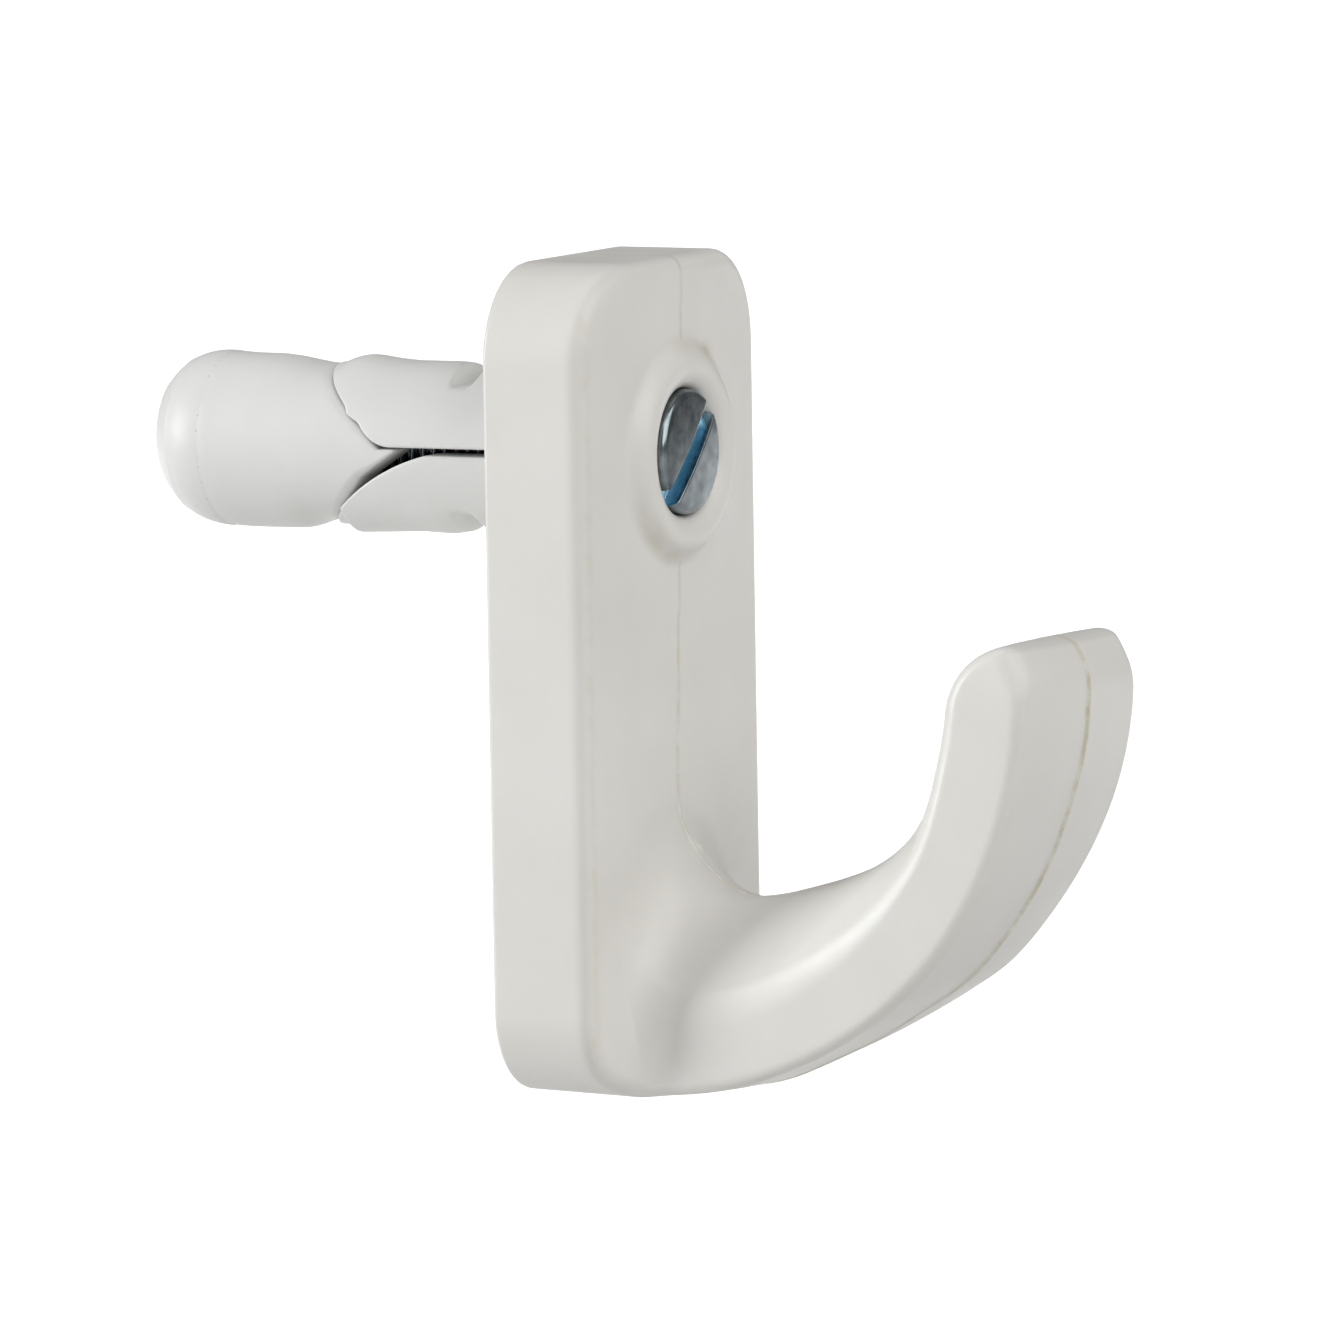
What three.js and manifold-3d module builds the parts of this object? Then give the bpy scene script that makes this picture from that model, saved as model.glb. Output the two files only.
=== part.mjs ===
// Wall hook with its own expansion plug.
//
// One moulding carries the back plate, the J-shaped arm and the two expansion legs. A slotted
// machine screw passes through the plate and draws a domed wedge, with a nut moulded into it,
// between the legs, which spreads them in the wall.
//
// Frame, in millimetres: X to the right and -Y outwards as seen by somebody facing the hook,
// +Y into the wall, Z up. The origin is where the screw axis crosses the wall's surface.

import * as THREE from 'three';
import { mergeVertices } from 'three/addons/utils/BufferGeometryUtils.js';
import Module from 'manifold-3d';

const wasm = await Module();
wasm.setup();

// ---------------------------------------------------------------- driving dimensions

const PLATE_HALF_WIDTH = 10.8;
const PLATE_TOP = 10.9;
const PLATE_BOTTOM = -35.2;
const PLATE_EDGE_DEPTH = 6.1; // thickness at the side edges
const PLATE_CROWN = 0.6; // extra thickness on the centre line
const PLATE_TOP_CORNER = 5.5;
const PLATE_BOTTOM_CORNER = 4.8;
const PLATE_FRONT_ROUND = 0.9; // small rounding of the front edges

const ARM_CENTRE_Y = -7.6; // centre of the arm's sweep
const ARM_CENTRE_Z = -11.4;
const ARM_OUTER_RADIUS = 24.1; // outer face, on the centre line
const ARM_SIDE_RADIUS = 19.3; // inner edge of the flat sides
const ARM_HALF_WIDTH = 6.85;
const ARM_CROWN = 0.6; // how far the outer face falls away at its edges
const ARCH_RISE_ROOT = 6.2; // height of the rounded inner side above the flat sides
const ARCH_RISE_TIP = 1.8;
const ARCH_FADE = 1.15;
const ARM_ROOT_FILLET = 4;
const TIP_TOP = -9.6;
const TIP_SIDE_ROUND = 2.8;
const TIP_INNER_ROUND = 3;
const TIP_OUTER_ROUND = 1.3;

const HEAD_RADIUS = 3.5; // M4 slotted cheese head
const HEAD_HEIGHT = 2.6;
const HEAD_EDGE_ROUND = 0.5;
const HEAD_DOME = 0.3;
const HEAD_FACE_Y = -7.4;
const SLOT_WIDTH = 1.2;
const SLOT_DEPTH = 1.1;
const SLOT_ANGLE = Math.PI / 4;
const SHANK_RADIUS = 1.95;
const SHANK_LENGTH = 25;
const SHANK_CHAMFER = 0.6;

const RING_OUTER_RADIUS = 5.75;
const RING_INNER_RADIUS = 4.1;
const RING_CREST_Y = -7.5;
const SEAT_GAP = 0.3; // between the head and the floor of its recess

const SCREW_BORE_RADIUS = 2.2;
const COLLAR_RADIUS = 4.55;
const COLLAR_LENGTH = 1.6;
const HINGE_GAP = 0.3; // between the collar and the legs

const LEG_RADIUS = 4.55;
const LEG_RIDGE_RADIUS = 4.9;
const LEG_RIDGE_START = 6.8;
const LEG_RIDGE_END = 13.7;
const LEG_RIDGE_HALF_WIDTH = 2.8;
const LEG_SLOT_HALF = 0.3; // half the slot between the two legs
const LEG_TIP_Y = 8.8; // where the oblique leg end meets the slot
const NOTCH_FLOOR_RADIUS = 4.1; // groove that lets the leg flex
const NOTCH_START = 5.6;

const WEDGE_HALF_ANGLE = THREE.MathUtils.degToRad(38);
const WEDGE_APEX_Y = 8.9;
const EXPANDER_RADIUS = 4.95;
const DOME_START = 21.2;
const DOME_END = 25.4;
const DOME_POWER = 2.3; // 2 is an ellipse, more is squarer
const BLIND_BORE_END = 23;

const NUT_ACROSS_FLATS = 7;
const NUT_HEIGHT = 3.2;
const NUT_START = 16.2;
const NUT_BORE_RADIUS = 2.1;
const NUT_CLEARANCE = 0.1;

const ROUND_SEGMENTS = 48; // facets on the lathed pieces
const ARM_STEPS = 36;
const ARCH_STEPS = 12;
const CROWN_STEPS = 8;
const OVERRUN = 1; // how far a cutting body runs past what it cuts

// ---------------------------------------------------------------- solids

function toSolid(geometry) {
  const bare = geometry.index ? geometry.toNonIndexed() : geometry.clone();
  for (const name of Object.keys(bare.attributes)) {
    if (name !== 'position') bare.deleteAttribute(name);
  }
  const merged = mergeVertices(bare, 1e-4);
  return new wasm.Manifold(new wasm.Mesh({
    numProp: 3,
    vertProperties: new Float32Array(merged.attributes.position.array),
    triVerts: new Uint32Array(merged.index.array),
  }));
}

function toGeometry(solid) {
  const mesh = solid.getMesh();
  const geometry = new THREE.BufferGeometry();
  geometry.setAttribute('position', new THREE.BufferAttribute(mesh.vertProperties, 3));
  geometry.setIndex(new THREE.BufferAttribute(mesh.triVerts, 1));
  geometry.computeVertexNormals();
  return geometry;
}

function box(low, high) {
  const size = high.map((value, axis) => value - low[axis]);
  const centre = high.map((value, axis) => (value + low[axis]) / 2);
  return toSolid(new THREE.BoxGeometry(...size).translate(...centre));
}

// A solid of revolution about the Y axis; the profile runs from -Y to +Y as [radius, y].
function turned(profile, segments = ROUND_SEGMENTS) {
  const points = profile.map(([radius, y]) => new THREE.Vector2(radius, y));
  return toSolid(new THREE.LatheGeometry(points, segments));
}

function cylinder(radius, start, end, segments = ROUND_SEGMENTS) {
  return turned([[0, start], [radius, start], [radius, end], [0, end]], segments);
}

// A prism whose outline is drawn as seen from the front, reaching from front to back along Y.
function frontPrism(shape, front, back, curveSegments = 10) {
  const geometry = new THREE.ExtrudeGeometry(shape, {
    depth: back - front, bevelEnabled: false, curveSegments,
  });
  geometry.applyMatrix4(new THREE.Matrix4().makeBasis(
    new THREE.Vector3(1, 0, 0), new THREE.Vector3(0, 0, 1), new THREE.Vector3(0, -1, 0),
  ));
  return toSolid(geometry.translate(0, back, 0));
}

// A prism whose outline is drawn as seen from the side, as (y, z), across the full width.
function sidePrism(shape, halfWidth, curveSegments = 10) {
  const geometry = new THREE.ExtrudeGeometry(shape, {
    depth: 2 * halfWidth, bevelEnabled: false, curveSegments,
  });
  geometry.applyMatrix4(new THREE.Matrix4().makeBasis(
    new THREE.Vector3(0, 1, 0), new THREE.Vector3(0, 0, 1), new THREE.Vector3(1, 0, 0),
  ));
  return toSolid(geometry.translate(-halfWidth, 0, 0));
}

// A prism whose outline is drawn as seen from above, as (x, y), between two heights.
function planPrism(shape, bottom, top) {
  const geometry = new THREE.ExtrudeGeometry(shape, {
    depth: top - bottom, bevelEnabled: false, curveSegments: 6,
  });
  return toSolid(geometry.translate(0, 0, bottom));
}

function polygon(points) {
  return new THREE.Shape(points.map(([u, v]) => new THREE.Vector2(u, v)));
}

// ---------------------------------------------------------------- back plate

function plateOutline() {
  const shape = new THREE.Shape();
  const { PI } = Math;
  const x = PLATE_HALF_WIDTH;
  const [low, high] = [PLATE_BOTTOM_CORNER, PLATE_TOP_CORNER];
  shape.absarc(x - low, PLATE_BOTTOM + low, low, -PI / 2, 0);
  shape.absarc(x - high, PLATE_TOP - high, high, 0, PI / 2);
  shape.absarc(high - x, PLATE_TOP - high, high, PI / 2, PI);
  shape.absarc(low - x, PLATE_BOTTOM + low, low, PI, 1.5 * PI);
  shape.closePath();
  return shape;
}

// The plate seen from above: flat against the wall, crowned in front, with rounded edges.
function plateSection() {
  const round = PLATE_FRONT_ROUND;
  const side = PLATE_HALF_WIDTH;
  const edge = -PLATE_EDGE_DEPTH;
  const points = [[-side, 0], [-side, edge + round]];
  points.push([-side + 0.3 * round, edge + 0.3 * round]);
  for (let i = 0; i <= CROWN_STEPS; i += 1) {
    const t = 2 * i / CROWN_STEPS - 1;
    points.push([t * (side - round), edge - PLATE_CROWN * (1 - t * t)]);
  }
  points.push([side - 0.3 * round, edge + 0.3 * round]);
  points.push([side, edge + round], [side, 0]);
  return polygon(points);
}

function plate() {
  const outline = frontPrism(plateOutline(), -PLATE_EDGE_DEPTH - OVERRUN, 0);
  const section = planPrism(plateSection(), PLATE_BOTTOM - OVERRUN, PLATE_TOP + OVERRUN);
  return outline.intersect(section);
}

// ---------------------------------------------------------------- arm

// Height of the rounded inner side above the inner edges of the flat sides. It is highest at
// the plate, where a fillet joins it to the plate's front, and fades towards the tip.
function archRise(angle) {
  const fade = (1 - angle / (Math.PI / 2)) ** ARCH_FADE;
  const rise = ARCH_RISE_TIP + (ARCH_RISE_ROOT - ARCH_RISE_TIP) * Math.min(fade || 0, 1);
  const crestY = ARM_CENTRE_Y - (ARM_SIDE_RADIUS - rise) * Math.sin(angle);
  const fromPlate = -PLATE_EDGE_DEPTH - PLATE_CROWN - crestY;
  const reach = THREE.MathUtils.clamp(ARM_ROOT_FILLET - fromPlate, 0, ARM_ROOT_FILLET);
  return rise + ARM_ROOT_FILLET - Math.sqrt(ARM_ROOT_FILLET ** 2 - reach ** 2);
}

// One cross-section of the arm as [x, radius] about the sweep's centre: a crowned outer face,
// two flat sides and an inner side arched as a circular arc, or half an ellipse where it is tall.
function armSection(angle) {
  const half = ARM_HALF_WIDTH;
  const rise = archRise(angle);
  const archAngle = Math.min(2 * Math.atan(rise / half), Math.PI / 2);
  const points = [];
  for (let i = 0; i <= CROWN_STEPS; i += 1) {
    const t = 2 * i / CROWN_STEPS - 1;
    points.push([t * half, ARM_OUTER_RADIUS - ARM_CROWN * t * t]);
  }
  for (let i = 0; i <= ARCH_STEPS; i += 1) {
    const turn = archAngle * (1 - 2 * i / ARCH_STEPS);
    const lift = rise * (Math.cos(turn) - Math.cos(archAngle)) / (1 - Math.cos(archAngle));
    points.push([half * Math.sin(turn) / Math.sin(archAngle), ARM_SIDE_RADIUS - lift]);
  }
  return points;
}

// The arm sweeps about its centre from inside the plate to past the tip. Angle 0 points
// straight down and 90 degrees points straight out from the wall.
function armSweep() {
  const first = THREE.MathUtils.degToRad(-10);
  const last = THREE.MathUtils.degToRad(97);
  const positions = [];
  const index = [];
  const count = armSection(0).length;
  for (let step = 0; step <= ARM_STEPS; step += 1) {
    const angle = first + (last - first) * step / ARM_STEPS;
    for (const [x, radius] of armSection(angle)) {
      const y = ARM_CENTRE_Y - radius * Math.sin(angle);
      const z = ARM_CENTRE_Z - radius * Math.cos(angle);
      positions.push(x, y, z);
    }
  }
  for (let step = 0; step < ARM_STEPS; step += 1) {
    for (let i = 0; i < count; i += 1) {
      const a = step * count + i;
      const b = step * count + (i + 1) % count;
      index.push(a, b, a + count, b, b + count, a + count);
    }
  }
  const lastRing = ARM_STEPS * count;
  for (let i = 1; i < count - 1; i += 1) {
    index.push(0, i + 1, i);
    index.push(lastRing, lastRing + i, lastRing + i + 1);
  }
  const geometry = new THREE.BufferGeometry();
  geometry.setAttribute('position', new THREE.Float32BufferAttribute(positions, 3));
  geometry.setIndex(index);
  return toSolid(geometry);
}

// Trims the sweep to the tip's rounded outline, once from the front and once from the side.
function tipFrontOutline() {
  const shape = new THREE.Shape();
  const half = ARM_HALF_WIDTH + 0.01;
  const round = TIP_SIDE_ROUND;
  const bottom = PLATE_BOTTOM - OVERRUN;
  shape.moveTo(-half, bottom);
  shape.lineTo(half, bottom);
  shape.absarc(half - round, TIP_TOP - round, round, 0, Math.PI / 2);
  shape.absarc(round - half, TIP_TOP - round, round, Math.PI / 2, Math.PI);
  shape.closePath();
  return shape;
}

function tipSideOutline() {
  const shape = new THREE.Shape();
  const outer = ARM_CENTRE_Y - ARM_OUTER_RADIUS;
  const inner = ARM_CENTRE_Y - ARM_SIDE_RADIUS + ARCH_RISE_TIP;
  const bottom = ARM_CENTRE_Z - ARM_OUTER_RADIUS - OVERRUN;
  shape.moveTo(outer, bottom);
  shape.lineTo(0, bottom);
  shape.lineTo(0, TIP_TOP - TIP_INNER_ROUND);
  shape.absarc(inner - TIP_INNER_ROUND, TIP_TOP - TIP_INNER_ROUND, TIP_INNER_ROUND, 0, Math.PI / 2);
  shape.absarc(outer + TIP_OUTER_ROUND, TIP_TOP - TIP_OUTER_ROUND, TIP_OUTER_ROUND,
    Math.PI / 2, Math.PI);
  shape.closePath();
  return shape;
}

function arm() {
  const front = frontPrism(tipFrontOutline(), ARM_CENTRE_Y - ARM_OUTER_RADIUS - OVERRUN, 0);
  const side = sidePrism(tipSideOutline(), ARM_HALF_WIDTH + OVERRUN);
  return armSweep().intersect(front).intersect(side);
}

// ---------------------------------------------------------------- hook

// Smooth bead around the screw's recess.
function screwRing() {
  const root = -PLATE_EDGE_DEPTH + OVERRUN;
  const middle = (RING_OUTER_RADIUS + RING_INNER_RADIUS) / 2;
  const half = (RING_OUTER_RADIUS - RING_INNER_RADIUS) / 2;
  const height = PLATE_EDGE_DEPTH + PLATE_CROWN / 2 + RING_CREST_Y;
  const profile = [[0, root], [RING_OUTER_RADIUS, root]];
  for (let i = 0; i <= 6; i += 1) {
    const turn = Math.PI * i / 6;
    profile.push([middle + half * Math.cos(turn), RING_CREST_Y - height * (1 - Math.sin(turn))]);
  }
  profile.push([0, RING_CREST_Y - height]);
  return turned(profile.reverse());
}

function hookBody() {
  const seat = HEAD_FACE_Y + HEAD_HEIGHT + SEAT_GAP;
  const recess = cylinder(RING_INNER_RADIUS, RING_CREST_Y - OVERRUN, seat);
  const bore = cylinder(SCREW_BORE_RADIUS, seat - OVERRUN, COLLAR_LENGTH + OVERRUN);
  const collar = cylinder(COLLAR_RADIUS, -OVERRUN, COLLAR_LENGTH);
  return plate().add(arm()).add(screwRing()).add(collar).subtract(recess).subtract(bore);
}

// ---------------------------------------------------------------- expansion legs

// Everything behind an oblique plane that rises away from the slot, on one side of it.
function obliqueCut(apexY, side) {
  const reach = 2 * EXPANDER_RADIUS;
  const far = apexY + reach / Math.tan(WEDGE_HALF_ANGLE);
  return sidePrism(polygon(side > 0
    ? [[apexY, 0], [far, 0], [far, reach]]
    : [[apexY, 0], [far, -reach], [far, 0]]), EXPANDER_RADIUS + OVERRUN);
}

// One half of the split sleeve; side is +1 for the upper leg and -1 for the lower one.
function expansionLeg(side) {
  const root = COLLAR_LENGTH + HINGE_GAP;
  const end = LEG_TIP_Y + LEG_RIDGE_RADIUS / Math.tan(WEDGE_HALF_ANGLE) + OVERRUN;
  const tube = turned([
    [0, root], [LEG_RADIUS, root], [LEG_RADIUS, NOTCH_START - 0.6],
    [NOTCH_FLOOR_RADIUS, NOTCH_START], [NOTCH_FLOOR_RADIUS, LEG_RIDGE_START - 0.3],
    [LEG_RADIUS, LEG_RIDGE_START - 0.3], [LEG_RADIUS, end], [0, end],
  ]);
  const ridge = cylinder(LEG_RIDGE_RADIUS, LEG_RIDGE_START, LEG_RIDGE_END).intersect(box(
    [-LEG_RIDGE_HALF_WIDTH, root, -EXPANDER_RADIUS],
    [LEG_RIDGE_HALF_WIDTH, end, EXPANDER_RADIUS],
  ));
  const reach = EXPANDER_RADIUS + OVERRUN;
  const half = side > 0
    ? box([-reach, 0, LEG_SLOT_HALF], [reach, end + OVERRUN, reach])
    : box([-reach, 0, -reach], [reach, end + OVERRUN, -LEG_SLOT_HALF]);
  const apex = LEG_TIP_Y - LEG_SLOT_HALF / Math.tan(WEDGE_HALF_ANGLE);
  return tube.add(ridge)
    .subtract(cylinder(SCREW_BORE_RADIUS, 0, end + OVERRUN))
    .intersect(half)
    .subtract(obliqueCut(apex, side));
}

// ---------------------------------------------------------------- expander and nut

function hexagonPrism(acrossFlats, start, end) {
  const points = [];
  for (let i = 0; i < 6; i += 1) {
    const turn = Math.PI * i / 3;
    const radius = acrossFlats / 2 / Math.cos(Math.PI / 6);
    points.push([radius * Math.cos(turn), radius * Math.sin(turn)]);
  }
  return frontPrism(polygon(points), start, end);
}

function expanderPlug() {
  const profile = [[0, WEDGE_APEX_Y], [EXPANDER_RADIUS, WEDGE_APEX_Y]];
  const steps = 10;
  for (let i = 0; i < steps; i += 1) {
    const turn = Math.PI / 2 * i / steps;
    const radius = EXPANDER_RADIUS * Math.cos(turn) ** (2 / DOME_POWER);
    const reach = (DOME_END - DOME_START) * Math.sin(turn) ** (2 / DOME_POWER);
    profile.push([radius, DOME_START + reach]);
  }
  profile.push([0, DOME_END]);
  const wedge = obliqueCut(WEDGE_APEX_Y, 1).add(obliqueCut(WEDGE_APEX_Y, -1));
  const tail = cylinder(2 * EXPANDER_RADIUS, NUT_START, DOME_END + OVERRUN);
  const pocket = hexagonPrism(
    NUT_ACROSS_FLATS + 2 * NUT_CLEARANCE,
    NUT_START - NUT_CLEARANCE,
    NUT_START + NUT_HEIGHT + NUT_CLEARANCE,
  );
  return turned(profile)
    .intersect(wedge.add(tail))
    .subtract(cylinder(SCREW_BORE_RADIUS, WEDGE_APEX_Y - OVERRUN, BLIND_BORE_END))
    .subtract(pocket);
}

function captiveNut() {
  const end = NUT_START + NUT_HEIGHT;
  return hexagonPrism(NUT_ACROSS_FLATS, NUT_START, end)
    .subtract(cylinder(NUT_BORE_RADIUS, NUT_START - OVERRUN, end + OVERRUN));
}

// ---------------------------------------------------------------- screw

function clampScrew() {
  const underside = HEAD_FACE_Y + HEAD_HEIGHT;
  const end = underside + SHANK_LENGTH;
  const body = turned([
    [0, HEAD_FACE_Y],
    [HEAD_RADIUS / 2, HEAD_FACE_Y + HEAD_DOME / 4],
    [HEAD_RADIUS - HEAD_EDGE_ROUND, HEAD_FACE_Y + HEAD_DOME],
    [HEAD_RADIUS - 0.3 * HEAD_EDGE_ROUND, HEAD_FACE_Y + HEAD_DOME + 0.3 * HEAD_EDGE_ROUND],
    [HEAD_RADIUS, HEAD_FACE_Y + HEAD_DOME + HEAD_EDGE_ROUND],
    [HEAD_RADIUS, underside],
    [SHANK_RADIUS, underside],
    [SHANK_RADIUS, end - SHANK_CHAMFER],
    [SHANK_RADIUS - SHANK_CHAMFER, end],
    [0, end],
  ]);
  const slot = new THREE.BoxGeometry(SLOT_WIDTH, 2 * SLOT_DEPTH, 2 * HEAD_RADIUS + OVERRUN)
    .rotateY(SLOT_ANGLE)
    .translate(0, HEAD_FACE_Y, 0);
  return body.subtract(toSolid(slot));
}

// ---------------------------------------------------------------- assembly

const moulding = new THREE.MeshStandardMaterial({ color: 0xdedcd6, roughness: 0.38, metalness: 0 });
const plugPlastic = new THREE.MeshStandardMaterial({ color: 0xdfe1df, roughness: 0.42, metalness: 0 });
const zinc = new THREE.MeshStandardMaterial({ color: 0xa9b6c2, roughness: 0.25, metalness: 1 });
const nutSteel = new THREE.MeshStandardMaterial({ color: 0x9aa3ab, roughness: 0.35, metalness: 1 });

function piece(name, solid, material) {
  const mesh = new THREE.Mesh(toGeometry(solid), material);
  mesh.name = name;
  return mesh;
}

const group = new THREE.Group();
group.name = 'hook_with_expansion_plug';
group.add(
  piece('hook_body', hookBody(), moulding),
  piece('upper_expansion_leg', expansionLeg(1), moulding),
  piece('lower_expansion_leg', expansionLeg(-1), moulding),
  piece('expander_plug', expanderPlug(), plugPlastic),
  piece('captive_nut', captiveNut(), nutSteel),
  piece('clamp_screw', clampScrew(), zinc),
);

export default group;
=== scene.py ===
"""Looks of the wall hook with its own expansion plug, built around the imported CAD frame.

Every plastic piece is a field that is negative inside the piece and zero on its skin, in the
CAD frame and in millimetres. skin() turns a field into a closed mesh of quads.
"""

import bpy
import numpy as np
from mathutils import Matrix, Vector


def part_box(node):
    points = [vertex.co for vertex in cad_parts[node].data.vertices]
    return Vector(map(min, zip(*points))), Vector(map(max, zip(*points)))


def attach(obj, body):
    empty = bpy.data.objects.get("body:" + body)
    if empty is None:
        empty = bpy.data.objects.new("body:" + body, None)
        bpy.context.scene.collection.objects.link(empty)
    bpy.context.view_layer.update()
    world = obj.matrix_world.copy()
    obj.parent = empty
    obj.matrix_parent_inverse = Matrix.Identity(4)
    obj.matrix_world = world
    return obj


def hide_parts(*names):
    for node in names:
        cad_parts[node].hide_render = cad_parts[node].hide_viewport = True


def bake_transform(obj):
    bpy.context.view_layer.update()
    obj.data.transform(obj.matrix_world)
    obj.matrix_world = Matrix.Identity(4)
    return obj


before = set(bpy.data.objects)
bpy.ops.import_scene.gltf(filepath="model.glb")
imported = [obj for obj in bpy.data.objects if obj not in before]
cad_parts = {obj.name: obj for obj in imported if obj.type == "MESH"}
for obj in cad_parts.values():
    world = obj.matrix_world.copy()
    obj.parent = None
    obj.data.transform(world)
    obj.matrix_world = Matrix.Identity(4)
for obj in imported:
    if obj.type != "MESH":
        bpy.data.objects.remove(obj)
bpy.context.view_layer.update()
MM = 0.001

# ------------------------------------------------------------------ dimensions, in millimetres
# A name that ends in _TURNS holds two places along the arm's sweep, in degrees: 0 straight under
# the sweep's centre, where the root is, and 90 straight out from it, near the tip.


def node_box(node):
    """The lowest and highest corners of a CAD node, in millimetres."""
    low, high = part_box(node)
    return np.array(low) / MM, np.array(high) / MM


HOOK_LOW, HOOK_HIGH = node_box("hook_body")
EXPANDER_LOW, EXPANDER_HIGH = node_box("expander_plug")
SCREW_LOW, SCREW_HIGH = node_box("clamp_screw")

PLATE_HALF_WIDTH = HOOK_HIGH[0]
PLATE_TOP = HOOK_HIGH[2]
PLATE_BOTTOM = HOOK_LOW[2]
PLATE_BACK_LIFT = 0.3  # the underside is this much higher at the wall
PLATE_EDGE_DEPTH = 6.07
PLATE_CROWN = 0.67  # at the screw's height
PLATE_CROWN_SLOPE = 0.0275  # the crown grows towards the top
PLATE_CROWN_LIMITS = (0.1, 0.9)
PLATE_TOP_CORNER = 5.5
PLATE_BOTTOM_CORNER = 4.8
PLATE_FRONT_ROUND = 0.9
PLATE_BACK_ROUND = 0.25

ARM_Y = -7.6  # the centre of the arm's sweep
ARM_Z = -11.4
ARM_HALF_WIDTH = 6.85
ARM_OUTER_RADIUS = 24.08
ARM_TIP_SWELL = 0.12
ARM_TIP_SWELL_TURNS = (62, 84)
ARM_FLAT = 0.4  # the outer face dips by this much in the lower front quarter
ARM_FLAT_TURN = 28
ARM_FLAT_SPREAD = 12.5
ARM_SIDE_RADIUS = 19.3  # the inner edges of the side faces
ARM_SIDE_DROP = 0.48
ARM_SIDE_DROP_TURNS = (56, 76)
ARM_NEAR_ROUND = 0.7
ARM_FAR_ROUND = 1.2
ARM_INNER_ROUND = 0.55
ARM_EDGE_FADE = 4  # the plate's front edge turns into the arm's edge over this depth
ARM_NEAR_EDGE = 23.88  # the outer face at its left-hand edge
ARM_NEAR_EDGE_DROP = 0.5
ARM_NEAR_EDGE_TURNS = (40, 90)
ARM_CROWN_FADE = 3
FAR_CROWN = 0.55  # how far the outer face falls away towards its right-hand edge
FAR_CROWN_LOSS = 0.33
FAR_CROWN_LOSS_TURNS = (38, 78)
FAR_CROWN_AT_ROOT = 0.46
FAR_CROWN_ROOT_TURNS = (36, 24)
FAR_CROWN_BULGE = 0.22
FAR_CROWN_BULGE_TURN = 52
FAR_CROWN_BULGE_SPREAD = 13
CREST_RADIUS = 13.1  # the middle of the arch along the arm's inner face
CREST_SLOPE = 0.05  # for each degree
CREST_SLOPE_END = 64
CREST_RISE = 1.1
CREST_RISE_TURNS = (26, 60)
ARCH_POWER = 2.4
ARCH_REACH = 1.1  # in half widths: beyond this the arch falls no further
ROOT_FILLET_SIDE = 3.4
ROOT_FILLET_CREST = 5.6
TIP_TOP = -9.6
TIP_INNER_ROUND = 3.7
TIP_OUTER_ROUND = 2.2
TIP_SIDE_ROUND = 1.5  # the flanks lean in towards the tip
TIP_SIDE_LEAN = 0.3
TIP_SIDE_ABOVE = 0.8
TIP_FADE = 3.5
MOULD_MISMATCH = 0.12  # the far half of the mould sits further out on the arm's outer face
MISMATCH_WIDTH = 0.12
MISMATCH_TURNS = (33, 48)

RING_OUTER = 5.75
RING_INNER = 3.53
RING_CREST = 7.6
RING_ROUND = 0.9
RING_BLEND = 0.8
RECESS_EDGE_ROUND = 1.25
RECESS_FLOOR = -4.5
BORE = 2.2
BORE_ROUND = 0.1
COLLAR = 4.7
COLLAR_START = -2.0  # inside the plate
COLLAR_END = 1.6
COLLAR_ROUND = 0.15
COLLAR_BLEND = 0.4

PARTING_LONG_WAVE = 0.05
PARTING_SHORT_WAVE = 0.03
FLASH_HEIGHT = 0.07
FLASH_WIDTH = 0.07
FLASH_RING_GAP = 0.4
FLASH_RING_FADE = 0.5
FLASH_BEHIND_FRONT = 1.2  # how far behind the plate's front the flash ends
FLASH_TIP_LOSS = 0.8
LEDGE_HEIGHT = 0.2  # a torn bit of flash at the arm's root
LEDGE_X = 0.5
LEDGE_Z = -22.1
LEDGE_WIDTH = 0.5
LEDGE_DROP = 0.3
LEDGE_FRONT = -9.0

LEG_START = 1.2
LEG_START_ROUND = 0.1
LEG_SIDE = 4.6
LEG_BORE_ROUND = 0.08
RIDGE_WIDTH = 70  # degrees round the plug, to either side of the ridge
PROFILE_SHIFTS = (-0.24, -0.12, 0, 0.12, 0.24)
UPPER_LEG_GAP = 0.22
UPPER_LEG_SLOPE = 1.0  # its slanted end
UPPER_LEG_CORNER = 9.85
UPPER_LEG_CORNER_ROUND = 0.6
UPPER_LEG_EDGE_ROUND = 0.14
BURRS = ((0.22, 2.0, 0.28), (-0.1, 1.5, 0.25))  # height, z and width, on the slanted end
LOWER_LEG_GAP = 0.2
LOWER_LEG_SLOPE = 0.25
LOWER_LEG_BEND = 0.045
LOWER_LEG_BEND_START = 7
LOWER_LEG_EDGE_ROUND = 0.16
RIDGE_STEP = 13.04  # the lower leg's ridge stops short here
RIDGE_STEP_DEPTH = 0.06  # below the leg's sides
NOTCH_Y = 5.5
NOTCH_HALF_LENGTH = 0.85
NOTCH_DEPTH = 0.75
NOTCH_STEEPNESS = 1.6
NOTCH_END = 46  # degrees from the ridge
NOTCH_FADE = 26
DOME_START = 21.2
DOME_RADIUS = 4.93
DOME_POWER = 2.3
DOME_SCALE = 4.2  # brings the dome's formula to about a millimetre for each millimetre
EXPANDER_RAISE = 0.08
EXPANDER_TILT = 0.055  # the domed end points a little upwards
EXPANDER_TILT_START = 20
EXPANDER_TURNOVER = 4  # its top and bottom profiles blend over this height either way
EXPANDER_BORE_END = 23
EXPANDER_BORE_ROUND = 0.05
WEDGE_GAP = 0.02
WEDGE_TIP_TOP = 0.1  # the wedge runs on a little under the upper leg
WEDGE_TIP_INSET = 0.05
WEDGE_ROUND = 0.08
LOWER_WEDGE_SLOPE = 0.62
LOWER_WEDGE_BEND = 0.45
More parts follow.
